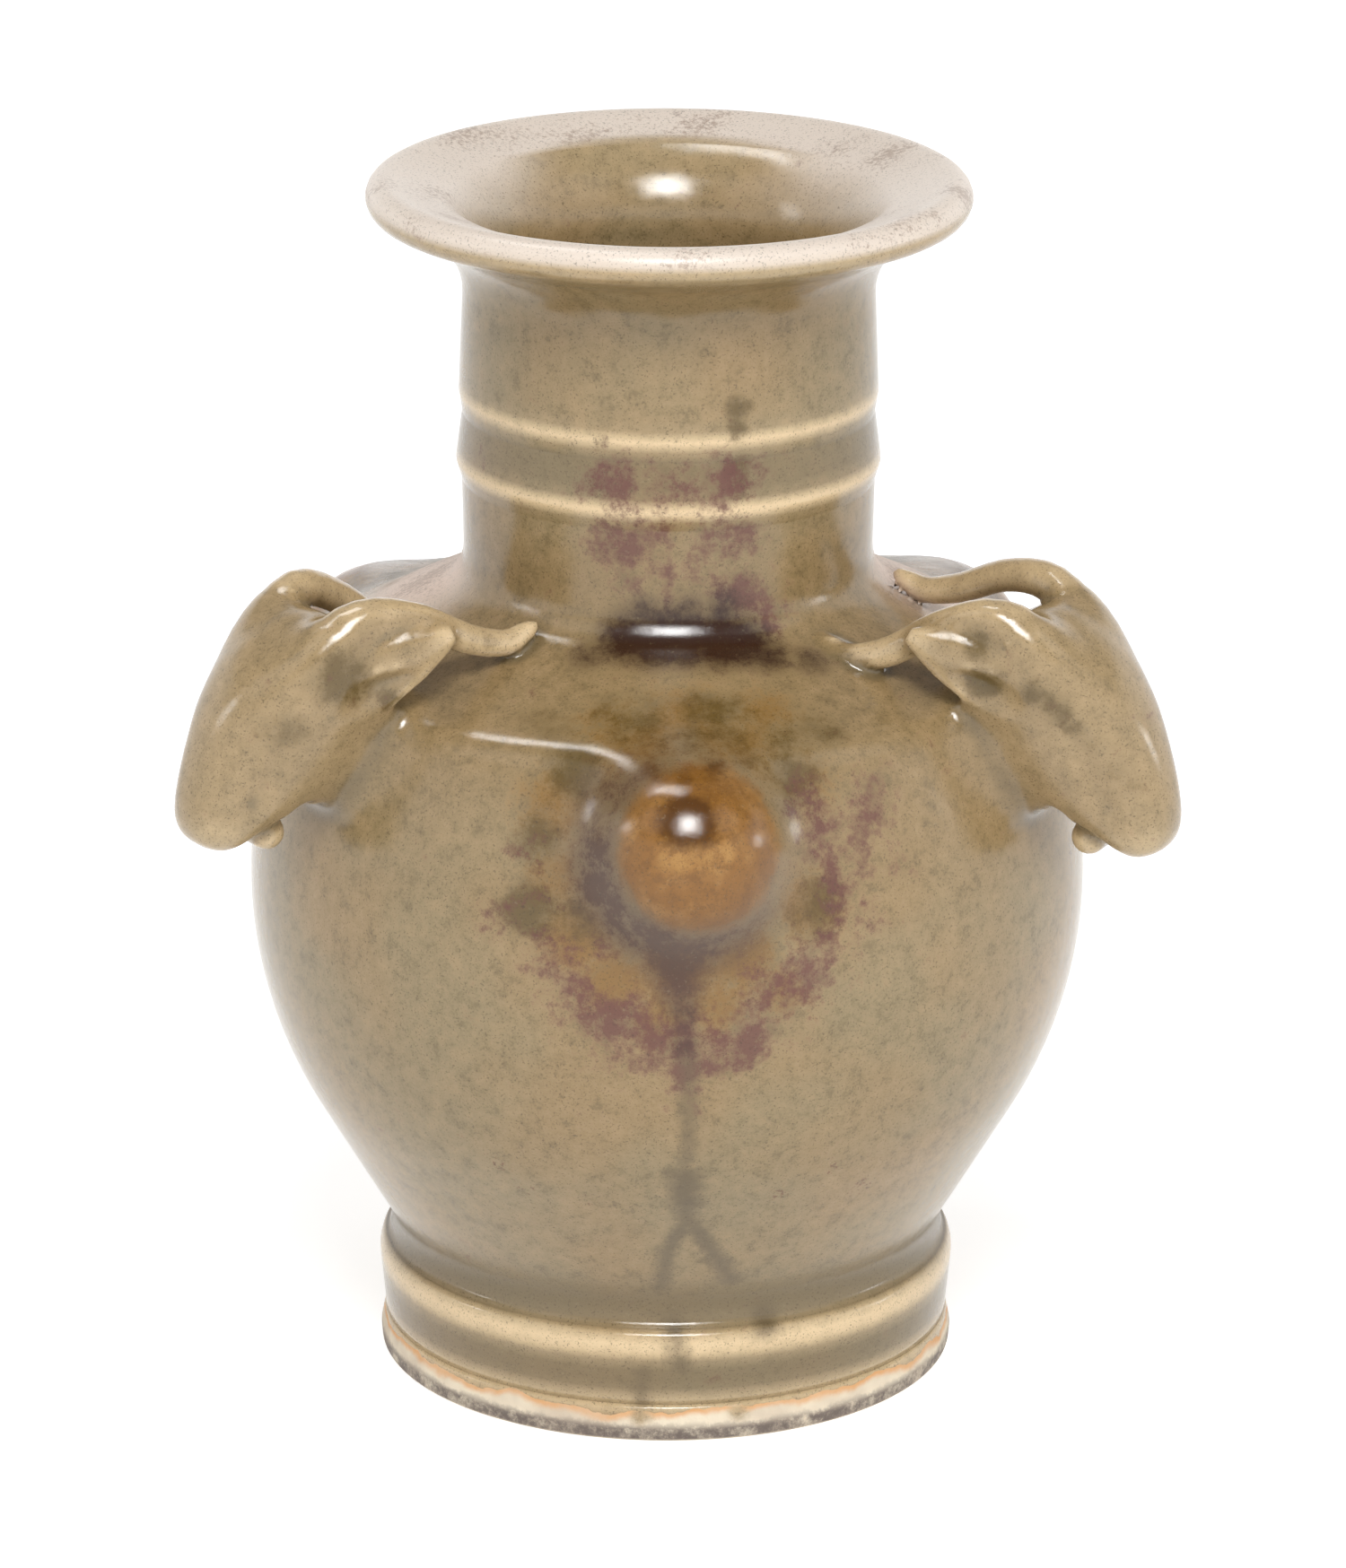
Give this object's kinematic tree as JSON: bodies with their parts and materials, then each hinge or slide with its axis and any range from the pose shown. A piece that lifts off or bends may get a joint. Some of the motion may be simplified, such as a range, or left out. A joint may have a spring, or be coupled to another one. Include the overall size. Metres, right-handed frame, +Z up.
{
  "type": "celadon vase",
  "caption": "Small glazed porcelain bottle vase with a rolled lip, ringed neck and horned animal heads and round bosses alternating on the shoulder.",
  "frame": {"origin": "on the axis of the turned body, in the plane that the foot ring stands on", "axes": "+Z up along the axis to the mouth; -Y to the front, through the boss midway between two heads; +X to the right"},
  "size_m": [0.12, 0.1251, 0.15],
  "materials": {
    "celadon_glaze": "glossy speckled olive celadon glaze over porcelain"
  },
  "bodies": {
    "root": {"vase": "celadon_glaze"}
  },
  "joints": []
}
